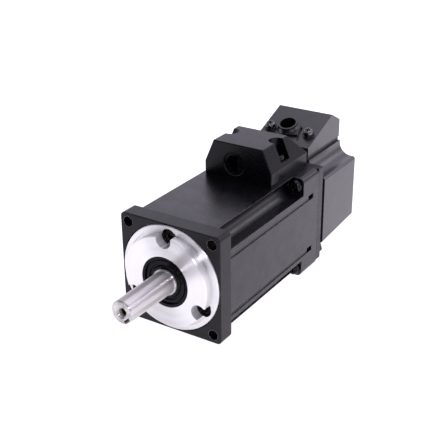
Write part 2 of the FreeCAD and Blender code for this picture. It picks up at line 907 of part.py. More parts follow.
def encoder_cap():
    body = cap_form(0, cap_floor).cut(cap_form(cap_wall, cap_floor - 1))
    square = slope_turn()
    place = slope_point(outlet_place, outlet_offset)
    body = body.cut(Part.makeCylinder(outlet_spigot / 2 + 2 * slip, cap_wall + 2, place + square, -square))
    for side in (-1, 1):
        place = slope_point(cap_screw_place, side * cap_screw_spacing / 2)
        body = body.cut(Part.makeCylinder(small_shank / 2 + 2 * slip, cap_wall + 2, place + square, -square))
    return body.cut(outlet_slit())


def on_slope(shape):
    """Stands a shape drawn at the outlet's middle, with Z square to the slope, on the cap."""
    return aimed(shape, slope_point(outlet_place, outlet_offset), slope_turn())


def outlet_slit():
    """Narrow round-ended slit beside the outlet's block."""
    inner = outlet_foot / 2 + slit_gap
    low = slit_start - slit_length
    slit = Part.makeBox(slit_width, slit_length, 2 * slit_depth, Vector(inner, low, -slit_depth))
    for y in (low, slit_start):
        end = Part.makeCylinder(slit_width / 2, 2 * slit_depth, Vector(inner + slit_width / 2, y, -slit_depth))
        slit = slit.fuse(end)
    return on_slope(slit.rotated(centre, up, slit_turn))


def outlet_side():
    """Low block beside the outlet, with one corner bevelled along the foot's round."""
    outer = outlet_foot / 2
    turn = math.radians(outlet_block_bevel)
    points = [Vector(0, -outer, 0), Vector(outer, -outer, 0), Vector(outer, outer * math.tan(turn / 2), 0),
              Vector(outer * math.cos(turn), outer * math.sin(turn), 0), Vector(0, outer * math.sin(turn), 0)]
    return face_of(points).extrude(Vector(0, 0, outlet_block)).rotated(centre, up, slit_turn)


def encoder_outlet():
    """Cable outlet: spigot through the cap, flared foot, straight neck and a low side block."""
    neck = outlet_neck / 2
    body = Part.makeCylinder(outlet_spigot / 2, cap_wall, Vector(0, 0, -cap_wall))
    body = body.fuse(Part.makeCone(outlet_foot / 2, neck, outlet_flare))
    body = body.fuse(Part.makeCylinder(neck, outlet_rise - outlet_flare, Vector(0, 0, outlet_flare)))
    body = body.fuse(outlet_side()).removeSplitter()
    bore = Part.makeCylinder(outlet_bore / 2, cap_wall + outlet_rise + 2, Vector(0, 0, -cap_wall - 1))
    return on_slope(body.cut(bore))


def cap_screw_washers():
    """A flat washer and a split lock washer under each cap screw."""
    hole = Part.makeCylinder(small_shank / 2 + 2 * slip, cap_half, Vector(0, 0, -1))
    flat = Part.makeCylinder(washer_diameter / 2, washer_thickness).cut(hole)
    lock = Part.makeCylinder(lock_washer_diameter / 2, lock_washer_thickness, Vector(0, 0, washer_thickness))
    split = Part.makeBox(lock_washer_diameter, washer_thickness, lock_washer_thickness, Vector(0, 0, washer_thickness))
    lock = lock.cut(hole).cut(split)
    washers = []
    for side in (-1, 1):
        place = slope_point(cap_screw_place, side * cap_screw_spacing / 2)
        washers += [aimed(flat, place, slope_turn()), aimed(lock, place, slope_turn())]
    return washers


def cap_screws():
    square = slope_turn()
    screw = cross_screw(small_shank, small_head, small_head_height, cap_screw_seat + cap_wall + cap_screw_reach)
    screws = []
    for side in (-1, 1):
        seat = slope_point(cap_screw_place, side * cap_screw_spacing / 2) + square * cap_screw_seat
        screws.append(aimed(screw, seat, square))
    return screws


def cap_gasket():
    wide = cap_half - cap_gasket_inset
    inner = cap_half - cap_wall
    start = cap_start + cap_gasket_inset
    ring = block(-wide, wide, start, cover_end - cap_gasket_inset, cover_top, cap_floor)
    return ring.cut(block(-inner, inner, cap_start + cap_wall, cover_end - cap_wall, cover_top, cap_floor))


# Terminal box with two screw pockets, its gasket, screws, cable bush and inner block

def pocket_y():
    return box_start + pocket_place


def pocket_x():
    return pocket_reach + pocket_width / 2 + 0.4


def rectangle(x, y_low, y_high, z):
    points = [Vector(-x, y_low, z), Vector(x, y_low, z), Vector(x, y_high, z), Vector(-x, y_high, z)]
    return Part.makePolygon(points + points[:1])


def box_form(inset):
    """Box with upright foot, sides leaning in and a sloping back."""
    low = box_floor
    turn = box_floor + box_side_height
    top = box_floor + box_height - inset
    start = box_start + inset
    end = box_start + box_length - inset
    wide = box_half - inset
    foot = block(-wide, wide, start, end, low, turn)
    share = (box_height - inset - box_side_height) / (box_height - box_side_height)
    top_half = box_half + (box_top_half - box_half) * share - inset
    top_end = box_start + box_length + (box_top_length - box_length) * share - inset
    crown = Part.makeLoft([rectangle(wide, start, end, turn), rectangle(top_half, start, top_end, top)], True)
    return foot.fuse(crown).removeSplitter()


def screw_pocket(side, gap, floor):
    """Slot down the side of the box, rounded at its inner end, that holds one screw."""
    radius = pocket_width / 2 + gap
    x = side * (pocket_reach + pocket_width / 2)
    top = box_floor + box_height + 1
    column = Part.makeCylinder(radius, top - floor, Vector(x, pocket_y(), floor))
    x_low, x_high = sorted((x, side * (box_half + 2)))
    return column.fuse(block(x_low, x_high, pocket_y() - radius, pocket_y() + radius, floor, top))


def terminal_box():
    outer = box_form(0)
    rounds = [edge for edge in outer.Edges if edge.BoundBox.ZMax > box_floor + 1e-3]
    outer = outer.makeFillet(box_edge, rounds)
    body = outer.cut(box_form(box_wall))
    for side in (-1, 1):
        solid_part = screw_pocket(side, box_wall - 0.4, box_floor).common(outer)
        body = body.fuse(solid_part)
    for side in (-1, 1):
        body = body.cut(screw_pocket(side, 0, box_floor + pocket_floor))
        hole = Part.makeCylinder(box_screw_shank / 2 + 3 * slip, pocket_floor,
                                 Vector(side * pocket_x(), pocket_y(), box_floor))
        body = body.cut(hole)
    return body.cut(gland_hole()).removeSplitter()


def gland_hole():
    """Cable hole through the front wall, bevelled at its mouth."""
    radius = gland_bore / 2
    height = box_floor + gland_height
    mouth = Part.makeCone(radius + 2 * gland_edge, radius, 2 * gland_edge,
                          Vector(gland_offset, box_start - gland_edge, height), along)
    return mouth.fuse(rod(radius, box_start - 1, box_start + box_wall + 0.5, gland_offset, height))


def terminal_gasket():
    wide = box_half - 0.3
    start = box_start + 0.3
    end = box_start + box_length - 0.3
    inner = box_half - box_wall
    sheet = block(-wide, wide, start, end, half, box_floor)
    window = block(-inner, inner, box_start + box_wall, box_start + box_length - box_wall, half, box_floor)
    for side in (-1, 1):
        window = window.cut(screw_pocket(side, box_wall - 0.4, half))
    sheet = sheet.cut(window)
    for side in (-1, 1):
        hole = Part.makeCylinder(box_screw_shank / 2 + 3 * slip, terminal_gasket_thickness,
                                 Vector(side * pocket_x(), pocket_y(), half))
        sheet = sheet.cut(hole)
    return sheet


def terminal_box_screws():
    length = pocket_floor + terminal_gasket_thickness + box_screw_reach
    screw = cross_screw(box_screw_shank, end_screw_head - 0.2, end_screw_head_height - 0.6, length)
    seat = box_floor + pocket_floor
    return [aimed(screw, Vector(side * pocket_x(), pocket_y(), seat), up) for side in (-1, 1)]


def cable_bush():
    """Rubber ring in the cable hole with a collar behind the wall."""
    outer = gland_bore / 2 - slip
    inner = gland_bore / 2 - bush_wall
    front = box_start + 0.6
    back = box_start + box_wall
    ring = tube(outer, inner, front, back, gland_offset, box_floor + gland_height)
    collar_top = outer + 0.8
    collar = tube(collar_top, inner, back, back + 1.2, gland_offset, box_floor + gland_height)
    floor_cut = block(-half, half, back, back + 2, 0, box_floor + 0.3)
    return ring.fuse(collar.cut(floor_cut)).removeSplitter()


def terminal_block():
    start = pocket_y() - block_length / 2
    body = block(-block_width / 2, block_width / 2, start, start + block_length, half, half + block_height)
    pitch = block_width / stud_count
    for index in range(stud_count):
        x = (index - (stud_count - 1) / 2) * pitch
        way = block(x - pitch * 0.3, x + pitch * 0.3, start, start + 3, half + 2, half + 5)
        body = body.cut(way)
        body = body.cut(Part.makeCylinder(stud_diameter / 2 + slip, 4, Vector(x, pocket_y(), half + block_height - 4)))
    return body


def terminal_studs():
    pitch = block_width / stud_count
    studs = []
    for index in range(stud_count):
        x = (index - (stud_count - 1) / 2) * pitch
        foot = Vector(x, pocket_y(), half + block_height - 4)
        studs.append(Part.makeCylinder(stud_diameter / 2, 5.5, foot))
    return studs


# Build every piece and write one file for each

def build():
    keep("front_flange", front_flange())
    keep("pilot_hub", pilot_hub())
    keep("hub_screws", *hub_screws())
    keep("shaft_seal", shaft_seal())
    keep("seal_spring", seal_spring())
    keep("output_shaft", output_shaft())
    keep("retaining_ring", retaining_ring())
    bearing("front", front_bore, front_outside, front_ball, front_balls, front_bearing_start, front_width)
    bearing("rear", rear_bore, rear_outside, rear_ball, rear_balls, rear_bearing_start, rear_width)
    keep("stator_housing", stator_housing())
    keep("stator_core", slotted_ring(core_start, core_length))
    keep("end_insulators", *end_insulators())
    keep("stator_windings", *ring_of(coil(), slot_count))
    keep("rotor_core", rotor_core())
    keep("rotor_magnets", *rotor_magnets())
    keep("rear_end_bell", rear_end_bell())
    keep("preload_spring", preload_spring())
    keep("end_bell_screws", *end_bell_screws())
    keep("encoder_hub", encoder_hub())
    keep("encoder_disc", encoder_disc())
    keep("encoder_board", encoder_board())
    keep("encoder_standoffs", *standoffs())
    keep("board_screws", *board_screws())
    keep("board_connector", board_connector())
    keep("encoder_cover", encoder_cover())
    keep("cover_gasket", cover_gasket())
    keep("cover_screws", *cover_screws())
    keep("encoder_cap", encoder_cap())
    keep("cap_gasket", cap_gasket())
    keep("encoder_outlet", encoder_outlet())
    keep("cap_screws", *cap_screws())
    keep("cap_screw_washers", *cap_screw_washers())
    keep("terminal_box", terminal_box())
    keep("terminal_gasket", terminal_gasket())
    keep("terminal_box_screws", *terminal_box_screws())
    keep("cable_bush", cable_bush())
    keep("terminal_block", terminal_block())
    keep("terminal_studs", *terminal_studs())


build()
os.makedirs("parts", exist_ok=True)
for name, solids in pieces.items():
    shape = solids[0] if len(solids) == 1 else Part.makeCompound(solids)
    shape.exportStep("parts/" + name + ".step")
    print(name, len(shape.Solids), round(shape.Volume, 1), shape.isValid())
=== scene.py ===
import json
import math

import bmesh
import bpy
from mathutils import Matrix, Vector


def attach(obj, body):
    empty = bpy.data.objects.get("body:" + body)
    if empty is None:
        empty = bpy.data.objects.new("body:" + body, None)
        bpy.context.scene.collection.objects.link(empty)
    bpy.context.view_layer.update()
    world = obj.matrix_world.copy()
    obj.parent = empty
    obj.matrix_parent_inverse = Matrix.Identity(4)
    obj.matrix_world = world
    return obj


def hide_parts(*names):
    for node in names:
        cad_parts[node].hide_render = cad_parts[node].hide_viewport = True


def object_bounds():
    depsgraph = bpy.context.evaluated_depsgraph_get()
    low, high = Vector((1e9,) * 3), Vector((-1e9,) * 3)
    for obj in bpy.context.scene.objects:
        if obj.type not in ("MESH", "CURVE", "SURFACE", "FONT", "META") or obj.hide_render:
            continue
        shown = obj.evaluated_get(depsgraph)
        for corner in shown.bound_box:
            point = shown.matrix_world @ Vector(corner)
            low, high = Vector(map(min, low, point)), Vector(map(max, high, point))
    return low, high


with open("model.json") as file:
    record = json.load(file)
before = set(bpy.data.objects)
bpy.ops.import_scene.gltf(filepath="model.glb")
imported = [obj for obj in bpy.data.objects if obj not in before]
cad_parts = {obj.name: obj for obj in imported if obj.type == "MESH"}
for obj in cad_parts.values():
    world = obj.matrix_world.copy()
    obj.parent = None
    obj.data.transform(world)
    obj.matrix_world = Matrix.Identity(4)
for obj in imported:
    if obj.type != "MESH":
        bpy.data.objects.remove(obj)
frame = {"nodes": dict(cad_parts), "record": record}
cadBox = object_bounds()
print("frame loaded:", len(frame["nodes"]), "nodes")

mm = 0.001


# Camera at the photograph's angle, in the part's own frame

photoView = {
    "azimuth": 32.794,      # degrees round from the front, to the right
    "elevation": 25.772,    # degrees above the horizon
    "roll": 0.497,          # degrees
    "distance": 462.847,    # mm, from the lens to the level of the origin
    "aside": 26.964,        # mm, the lens moved to its right
    "above": 27.292,        # mm, the lens moved up
    "lens": 73.87,          # mm
    "sensor": 36.0,         # mm
    "nearest": 0.01,        # metres
    "farthest": 20.0,       # metres
}


def makeCamera():
    turn = math.radians(photoView["azimuth"])
    tilt = math.radians(photoView["elevation"])
    roll = math.radians(photoView["roll"])
    back = Vector((math.sin(turn) * math.cos(tilt), -math.cos(turn) * math.cos(tilt), math.sin(tilt)))
    level = Vector((math.cos(turn), math.sin(turn), 0))
    upright = back.cross(level)
    camRight = level * math.cos(roll) - upright * math.sin(roll)
    camUp = level * math.sin(roll) + upright * math.cos(roll)
    place = camRight * photoView["aside"] + camUp * photoView["above"] + back * photoView["distance"]
    data = bpy.data.cameras.new("photoCamera")
    data.sensor_width = photoView["sensor"]
    data.lens = photoView["lens"]
    data.clip_start = photoView["nearest"]
    data.clip_end = photoView["farthest"]
    cam = bpy.data.objects.new("photoCamera", data)
    bpy.context.scene.collection.objects.link(cam)
    cam.matrix_world = Matrix((camRight, camUp, back)).transposed().to_4x4()
    cam.location = place * mm
    bpy.context.scene.camera = cam


makeCamera()
print("camera ready")


# Small helpers for node trees

evenSockets = ("Metallic", "Anisotropic", "Anisotropic Rotation", "Coat Weight", "Coat Roughness",
               "Specular IOR Level")


def addNode(tree, kind, values=None, **settings):
    node = tree.nodes.new(kind)
    for name, value in settings.items():
        setattr(node, name, value)
    for name, value in (values or {}).items():
        node.inputs[name].default_value = value
    return node


def plug(tree, value, socket):
    if isinstance(value, bpy.types.NodeSocket):
        tree.links.new(value, socket)
    elif isinstance(value, tuple) and len(value) == 3 and socket.type == "RGBA":
        socket.default_value = value + (1.0,)
    else:
        socket.default_value = value


def newFinish(name, look):
    # shader with the values that are the same all over the surface
    material = bpy.data.materials.new(name)
    material.use_nodes = True
    tree = material.node_tree
    shader = tree.nodes["Principled BSDF"]
    for socket in evenSockets:
        if socket in look:
            shader.inputs[socket].default_value = look[socket]
    return material, tree, shader


def objectPlace(tree):
    return addNode(tree, "ShaderNodeTexCoord").outputs["Object"]


def objectNormal(tree):
    return addNode(tree, "ShaderNodeTexCoord").outputs["Normal"]


def axisParts(tree, vector):
    parts = addNode(tree, "ShaderNodeSeparateXYZ")
    plug(tree, vector, parts.inputs[0])
    return parts.outputs


def stretched(tree, scale, shift=(0, 0, 0)):
    # shift is in mm
    mapping = addNode(tree, "ShaderNodeMapping", {"Scale": scale, "Location": [part * mm for part in shift]})
    plug(tree, objectPlace(tree), mapping.inputs["Vector"])
    return mapping.outputs["Vector"]


def noise(tree, vector, size, detail=2.0, roughness=0.5):
    # size is the width of one patch, in mm
    values = {"Scale": 1 / (size * mm), "Detail": detail, "Roughness": roughness}
    node = addNode(tree, "ShaderNodeTexNoise", values)
    plug(tree, vector, node.inputs["Vector"])
    return node.outputs["Fac"]


def span(tree, value, low, high, start=0.0, end=1.0):
    # low at start and below, high at end and above
    values = {"From Min": start, "From Max": end, "To Min": low, "To Max": high}
    node = addNode(tree, "ShaderNodeMapRange", values)
    plug(tree, value, node.inputs["Value"])
    return node.outputs["Result"]


def spread(tree, pattern, low, high):
    # low to high over the range that a noise mostly fills
    return span(tree, pattern, low, high, 0.3, 0.7)


def calc(tree, operation, first, second=0.0):
    node = addNode(tree, "ShaderNodeMath", operation=operation)
    plug(tree, first, node.inputs[0])
    plug(tree, second, node.inputs[1])
    return node.outputs[0]


def dot(tree, first, second):
    node = addNode(tree, "ShaderNodeVectorMath", operation="DOT_PRODUCT")
    plug(tree, first, node.inputs[0])
    plug(tree, second, node.inputs[1])
    return node.outputs["Value"]


def tones(tree, share, first, second):
    node = addNode(tree, "ShaderNodeMix", data_type="RGBA")
    plug(tree, share, node.inputs[0])
    plug(tree, first, node.inputs[6])
    plug(tree, second, node.inputs[7])
    return node.outputs[2]


def fromShaft(tree):
    # distance from the shaft axis and place along it
    across, station, height = axisParts(tree, objectPlace(tree))
    squares = [calc(tree, "MULTIPLY", part, part) for part in (across, height)]
    return calc(tree, "SQRT", calc(tree, "ADD", *squares)), station


def facesAlong(tree):
    # 1 where the surface faces along the shaft axis, either way
    return calc(tree, "ABSOLUTE", axisParts(tree, objectNormal(tree))[1])


def facesOutwards(tree):
    # 1 where the surface faces straight away from the shaft axis
    sides = []
    for socket in (objectPlace(tree), objectNormal(tree)):
        level = addNode(tree, "ShaderNodeVectorMath", operation="MULTIPLY")
        plug(tree, socket, level.inputs[0])
        level.inputs[1].default_value = (1, 0, 1)
        unit = addNode(tree, "ShaderNodeVectorMath", operation="NORMALIZE")
        plug(tree, level.outputs[0], unit.inputs[0])
        sides.append(unit.outputs[0])
    return dot(tree, *sides)


def alongLine(tree, value):
    # a place on a line as a vector, for noise that changes one way only
    joined = addNode(tree, "ShaderNodeCombineXYZ")
    plug(tree, value, joined.inputs[0])
    return joined.outputs[0]


edgeTurn = (0.80, 0.995)    # cosine of the rounding, from fully on an edge to off it


def softEdges(tree, radius):
    # normals rounded over the edges, and a mask that is 1 on them
    rounded = addNode(tree, "ShaderNodeBevel", {"Radius": radius * mm}, samples=4).outputs[0]
    flat = addNode(tree, "ShaderNodeNewGeometry").outputs["Normal"]
    return rounded, span(tree, dot(tree, rounded, flat), 1.0, 0.0, *edgeTurn)


def bump(tree, height, depth, normal=None):
    # depth is the height of the relief, in mm
    node = addNode(tree, "ShaderNodeBump", {"Strength": 1.0, "Distance": depth * mm})
    plug(tree, height, node.inputs["Height"])
    if normal is not None:
        plug(tree, normal, node.inputs["Normal"])
    return node.outputs[0]


def turnedGrain(tree, shader):
    # the grain of anisotropic metal runs round the shaft axis
    tangent = addNode(tree, "ShaderNodeTangent", direction_type="RADIAL", axis="Y")
    plug(tree, tangent.outputs[0], shader.inputs["Tangent"])


# Black paint over a blasted casting: fine grain, soft patches, and thin edges lightened by wear and as a
# painted highlight
# Sizes are in mm, and rough runs from the glossy patches to the dull ones

paintLooks = {
    "motorPaint": {"tone": (0.0016, 0.0014, 0.0022), "worn": (0.36, 0.35, 0.37), "rough": (0.24, 0.38),
                   "grain": 0.95, "relief": 0.070, "edge": 0.24, "Specular IOR Level": 0.42},
    "flangePaint": {"tone": (0.0014, 0.0012, 0.0020), "worn": (0.15, 0.145, 0.155), "rough": (0.29, 0.36),
                    "grain": 0.90, "relief": 0.060, "edge": 0.26, "Specular IOR Level": 0.24,
                    "holes": 25.3},    # mm, the mounting holes, this far from the axis to the side and up
    "bellPaint": {"tone": (0.0016, 0.0014, 0.0022), "worn": (0.14, 0.135, 0.145), "rough": (0.28, 0.42),
                  "grain": 0.50, "relief": 0.022, "edge": 0.24, "Specular IOR Level": 0.33},
    "boxPaint": {"tone": (0.0010, 0.0009, 0.0016), "worn": (0.022, 0.021, 0.026), "rough": (0.25, 0.31),
                 "grain": 0.90, "relief": 0.056, "edge": 0.26, "Specular IOR Level": 0.19},
    "coverPaint": {"tone": (0.0040, 0.0034, 0.0046), "worn": (0.026, 0.025, 0.029), "rough": (0.28, 0.34),
                   "grain": 0.90, "relief": 0.050, "edge": 0.24, "Specular IOR Level": 0.87},
}
paintShade = {
    "dark": 0.78, "light": 1.25,                # the tone between the grains and on them
    "patch": 9.0, "speckle": 0.03,              # patches of gloss, and what each grain adds to them
    "scuff": 1.6, "scuffed": (0.42, 0.62),      # where the edges are scuffed
    "worn": (0.25, 0.8),                        # how bare an edge is, least and most: wear, and a painted highlight along it
}
holeShade = {
    "rim": (2.98, 3.08), "bare": (0.62, 0.61, 0.62),              # the ring that has lost its paint
    # inside each mounting hole: painted shade, black and duller
    "inside": (2.78, 2.84), "black": (0.002, 0.002, 0.002), "duller": 0.5,
}


def fromHoles(tree, look):
    # distance from the middle of the nearest mounting hole
    across, _, height = axisParts(tree, objectPlace(tree))
    squares = []
    for part in (across, height):
        offset = calc(tree, "SUBTRACT", calc(tree, "ABSOLUTE", part), look["holes"] * mm)
        squares.append(calc(tree, "MULTIPLY", offset, offset))
    return calc(tree, "SQRT", calc(tree, "ADD", *squares))


def bareHoles(tree, shader, look, edges, colour, rough):
    # bright metal on a narrow ring round each mounting hole, and painted shade inside it: black metal with no
    # shine
    reach = fromHoles(tree, look)
    rims, inside = (span(tree, reach, 1.0, 0.0, start * mm, end * mm)
                    for start, end in (holeShade["rim"], holeShade["inside"]))
    rims = calc(tree, "MULTIPLY", rims, edges)
    colour = tones(tree, rims, colour, holeShade["bare"])
    # painted shade: the hole's wall is black and, being metallic, shows no shine
    colour = tones(tree, inside, colour, holeShade["black"])
    plug(tree, calc(tree, "MAXIMUM", rims, inside), shader.inputs["Metallic"])
    return colour, calc(tree, "ADD", rough, calc(tree, "MULTIPLY", inside, holeShade["duller"]))


def paintFinish(name):
    look, shade = paintLooks[name], paintShade
    material, tree, shader = newFinish(name, look)
    place = objectPlace(tree)
    grain = noise(tree, place, look["grain"], detail=3.0, roughness=0.6)
    patches = noise(tree, place, shade["patch"], detail=5.0, roughness=0.68)
    scuffs = noise(tree, place, shade["scuff"], detail=4.0, roughness=0.65)
    scuffs = span(tree, scuffs, 0.0, 1.0, *shade["scuffed"])
    rounded, edges = softEdges(tree, look["edge"])
    darker = tuple(shade["dark"] * part for part in look["tone"])
    lighter = tuple(shade["light"] * part for part in look["tone"])
    colour = tones(tree, spread(tree, grain, 0.0, 1.0), darker, lighter)
    # the edges are lightened towards the worn tone: partly wear, partly a painted highlight line
    worn = span(tree, scuffs, *shade["worn"])
    colour = tones(tree, calc(tree, "MULTIPLY", edges, worn), colour, look["worn"])
    rough = spread(tree, patches, *look["rough"])
    rough = calc(tree, "ADD", rough, spread(tree, grain, -shade["speckle"], shade["speckle"]))
    if "holes" in look:
        colour, rough = bareHoles(tree, shader, look, edges, colour, rough)
    plug(tree, colour, shader.inputs["Base Color"])
    plug(tree, rough, shader.inputs["Roughness"])
    plug(tree, bump(tree, grain, look["relief"], rounded), shader.inputs["Normal"])
    return material


# Turned metal: rings left by the tool, read from the distance to the shaft axis
# The bored walls that run along the axis are left rougher, and where blackFrom is given, black inside

turnedLooks = {
    "turnedAluminium": {"tone": (0.86, 0.865, 0.845), "dull": (0.76, 0.765, 0.755), "ring": 0.35,
                        "relief": 0.0022, "rough": (0.32, 0.38), "wallRough": 0.60, "wallMetal": 0.25,
                        "edge": 0.16, "blackFrom": (0.0, 0.4),    # mm along the shaft
                        "Anisotropic": 1.0, "Anisotropic Rotation": 0.25},
    "turnedBrass": {"tone": (0.80, 0.60, 0.30), "dull": (0.58, 0.42, 0.20), "ring": 0.30,
                    "relief": 0.003, "rough": (0.22, 0.36), "wallRough": 0.40, "wallMetal": 0.9,
                    "edge": 0.12, "Anisotropic": 0.5},
}
turnedShade = {
    "band": 3.2, "haze": 5.0, "hazeRough": (-0.015, 0.02), "dulled": 0.45,
    "bright": (1.0, 1.0, 1.0), "brightShare": 0.5,             # on the edges
    "wall": (0.20, 0.20, 0.21), "wallShare": 0.65, "black": (0.004, 0.004, 0.005),
}


def turnedFinish(name):
    look, shade = turnedLooks[name], turnedShade
    material, tree, shader = newFinish(name, look)
    radius, station = fromShaft(tree)
    rings = noise(tree, alongLine(tree, radius), look["ring"], detail=4.0, roughness=0.7)
    bands = noise(tree, alongLine(tree, radius), shade["band"], detail=1.0)
    haze = noise(tree, objectPlace(tree), shade["haze"], detail=3.0)
    rounded, edges = softEdges(tree, look["edge"])
    walls = span(tree, facesAlong(tree), 1.0, 0.0, start=0.15, end=0.45)
    walls = calc(tree, "MULTIPLY", walls, span(tree, facesOutwards(tree), 1.0, 0.0, start=0.90, end=0.97))
    dulled = span(tree, rings, 0.0, shade["dulled"], start=0.35, end=0.7)
    colour = tones(tree, dulled, look["tone"], look["dull"])
    colour = tones(tree, calc(tree, "MULTIPLY", edges, shade["brightShare"]), colour, shade["bright"])
    colour = tones(tree, calc(tree, "MULTIPLY", walls, shade["wallShare"]), colour, shade["wall"])
    if "blackFrom" in look:
        start, end = look["blackFrom"]
        inside = span(tree, station, 0.0, 1.0, start * mm, end * mm)
        colour = tones(tree, calc(tree, "MULTIPLY", walls, inside), colour, shade["black"])
    plug(tree, colour, shader.inputs["Base Color"])
    rough = spread(tree, bands, *look["rough"])
    rough = calc(tree, "ADD", rough, spread(tree, haze, *shade["hazeRough"]))
    rough = calc(tree, "ADD", rough, calc(tree, "MULTIPLY", walls, look["wallRough"] - look["rough"][1]))
    plug(tree, rough, shader.inputs["Roughness"])
    plug(tree, span(tree, walls, 1.0, look["wallMetal"]), shader.inputs["Metallic"])
    plug(tree, bump(tree, rings, look["relief"], rounded), shader.inputs["Normal"])
    turnedGrain(tree, shader)
    return material


# Ground steel: fine marks round the shaft, and faint bands along it
# Where milled is given, the keyway and holes nearer to the axis than milledWithin are that tone, and
# where a depth is given, the centre hole is painted black from there inwards, as painted shade

groundLooks = {
    "groundSteel": {"tone": (0.69, 0.67, 0.645), "stain": (0.42, 0.405, 0.395), "along": 0.04,
                    "pitch": 0.12, "relief": 0.0012, "rough": (0.31, 0.39), "edge": 0.14,
                    "milled": (0.19, 0.155, 0.16), "milledWithin": (5.6, 5.9), "paintedShadeFrom": (-38.0, -37.2),
                    "Metallic": 1.0, "Anisotropic": 1.0, "Anisotropic Rotation": 0.25},
    "bearingSteel": {"tone": (0.72, 0.72, 0.74), "stain": (0.60, 0.60, 0.62), "along": 0.18,
                     "pitch": 0.10, "relief": 0.0006, "rough": (0.08, 0.14), "edge": 0.10,
                     "Metallic": 1.0, "Anisotropic": 0.2},
    "cutSteel": {"tone": (0.40, 0.38, 0.24), "stain": (0.22, 0.20, 0.12), "along": 0.18,
                 "pitch": 0.20, "relief": 0.001, "rough": (0.34, 0.44), "edge": 0.10,
                 "paintedShadeFrom": (-38.0, -37.2), "Metallic": 0.75},
    "nickelPlate": {"tone": (0.60, 0.58, 0.55), "stain": (0.46, 0.45, 0.43), "along": 0.18,
                    "pitch": 0.50, "relief": 0.002, "rough": (0.16, 0.28), "edge": 0.20,
                    "Metallic": 1.0, "Anisotropic": 0.1},
    "etchedDisc": {"tone": (0.62, 0.62, 0.66), "stain": (0.48, 0.48, 0.52), "along": 0.18,
                   "pitch": 0.22, "relief": 0.0008, "rough": (0.12, 0.20), "edge": 0.08,
                   "Metallic": 1.0, "Anisotropic": 0.3},
}
groundShade = {
    "stain": 2.6, "shift": (3.0, 0.0, 1.0), "stained": 0.9, "markRough": (-0.02, 0.03),
    "bright": (0.95, 0.94, 0.95), "brightShare": 0.6,          # on the edges
    "hole": (2.3, 2.5), "black": (0.003, 0.003, 0.002),        # the centre hole, painted black deep inside as painted shade
}


def groundFinish(name):
    look, shade = groundLooks[name], groundShade
    material, tree, shader = newFinish(name, look)
    radius, station = fromShaft(tree)
    turns = alongLine(tree, calc(tree, "ADD", station, radius))
    marks = noise(tree, turns, look["pitch"], detail=3.0, roughness=0.7)
    bands = stretched(tree, (1.0, look["along"], 1.0), shade["shift"])
    stains = noise(tree, bands, shade["stain"], detail=4.0, roughness=0.6)
    rounded, edges = softEdges(tree, look["edge"])
    stained = span(tree, stains, 0.0, shade["stained"], start=0.40, end=0.66)
    colour = tones(tree, stained, look["tone"], look["stain"])
    colour = tones(tree, calc(tree, "MULTIPLY", edges, shade["brightShare"]), colour, shade["bright"])
    if "milled" in look:
        start, end = look["milledWithin"]
        cut = span(tree, facesAlong(tree), 1.0, 0.0, start=0.3, end=0.6)
        inner = span(tree, radius, 1.0, 0.0, start * mm, end * mm)
        colour = tones(tree, calc(tree, "MULTIPLY", cut, inner), colour, look["milled"])
    # painted shade: the centre hole's wall is painted black deep inside
    if "paintedShadeFrom" in look:
        (start, end), (near, far) = look["paintedShadeFrom"], shade["hole"]
        hole = span(tree, radius, 1.0, 0.0, near * mm, far * mm)
        deep = span(tree, station, 0.0, 1.0, start * mm, end * mm)
        colour = tones(tree, calc(tree, "MULTIPLY", hole, deep), colour, shade["black"])
    plug(tree, colour, shader.inputs["Base Color"])
    rough = spread(tree, stains, *look["rough"])
    rough = calc(tree, "ADD", rough, spread(tree, marks, *shade["markRough"]))
    plug(tree, rough, shader.inputs["Roughness"])
    plug(tree, bump(tree, marks, look["relief"], rounded), shader.inputs["Normal"])
    turnedGrain(tree, shader)
    return material


# Blackened steel of the rings and washers, and the screws' own, brighter on worn edges

blackSteelLooks = {
    "blackSteel": {"tone": (0.055, 0.054, 0.058), "oxide": (0.020, 0.019, 0.020), "worn": (0.42, 0.41, 0.41),
                   "rough": (0.20, 0.34), "relief": 0.006, "edge": 0.10, "Metallic": 0.85},
    "darkScrewSteel": {"tone": (0.030, 0.030, 0.032), "oxide": (0.008, 0.008, 0.009),
                       "worn": (0.34, 0.335, 0.33), "rough": (0.14, 0.24), "relief": 0.004, "edge": 0.08,
                       "Metallic": 1.0},
    "screwSteel": {"tone": (0.21, 0.205, 0.205), "oxide": (0.050, 0.049, 0.050), "worn": (0.62, 0.61, 0.60),
                   "rough": (0.14, 0.26), "relief": 0.004, "edge": 0.12, "Metallic": 1.0},
}
blackSteelShade = {"speckle": 0.35, "smear": 1.4, "wornShare": 0.7}


def blackSteelFinish(name):
    look, shade = blackSteelLooks[name], blackSteelShade
    material, tree, shader = newFinish(name, look)
    place = objectPlace(tree)
    speckle = noise(tree, place, shade["speckle"], detail=3.0, roughness=0.6)
    smears = noise(tree, place, shade["smear"], detail=3.0, roughness=0.6)
    rounded, edges = softEdges(tree, look["edge"])
    colour = tones(tree, span(tree, smears, 0.0, 1.0, start=0.35, end=0.65), look["tone"], look["oxide"])
    colour = tones(tree, calc(tree, "MULTIPLY", edges, shade["wornShare"]), colour, look["worn"])
    plug(tree, colour, shader.inputs["Base Color"])
    plug(tree, spread(tree, smears, *look["rough"]), shader.inputs["Roughness"])
    plug(tree, bump(tree, speckle, look["relief"], rounded), shader.inputs["Normal"])
    return material


# Stacked sheets: thin lines square to the shaft

sheetLook = {"tone": (0.34, 0.34, 0.36), "blued": (0.22, 0.23, 0.27), "gap": (0.10, 0.09, 0.09),
             "sheet": 0.5, "slit": 0.16,                  # mm, and the gap's share of a sheet
             "tint": 2.0, "stretch": (0.3, 4.0, 0.3), "bluedShare": 0.4,
             "relief": 0.03, "rough": (0.34, 0.5), "Metallic": 0.9}


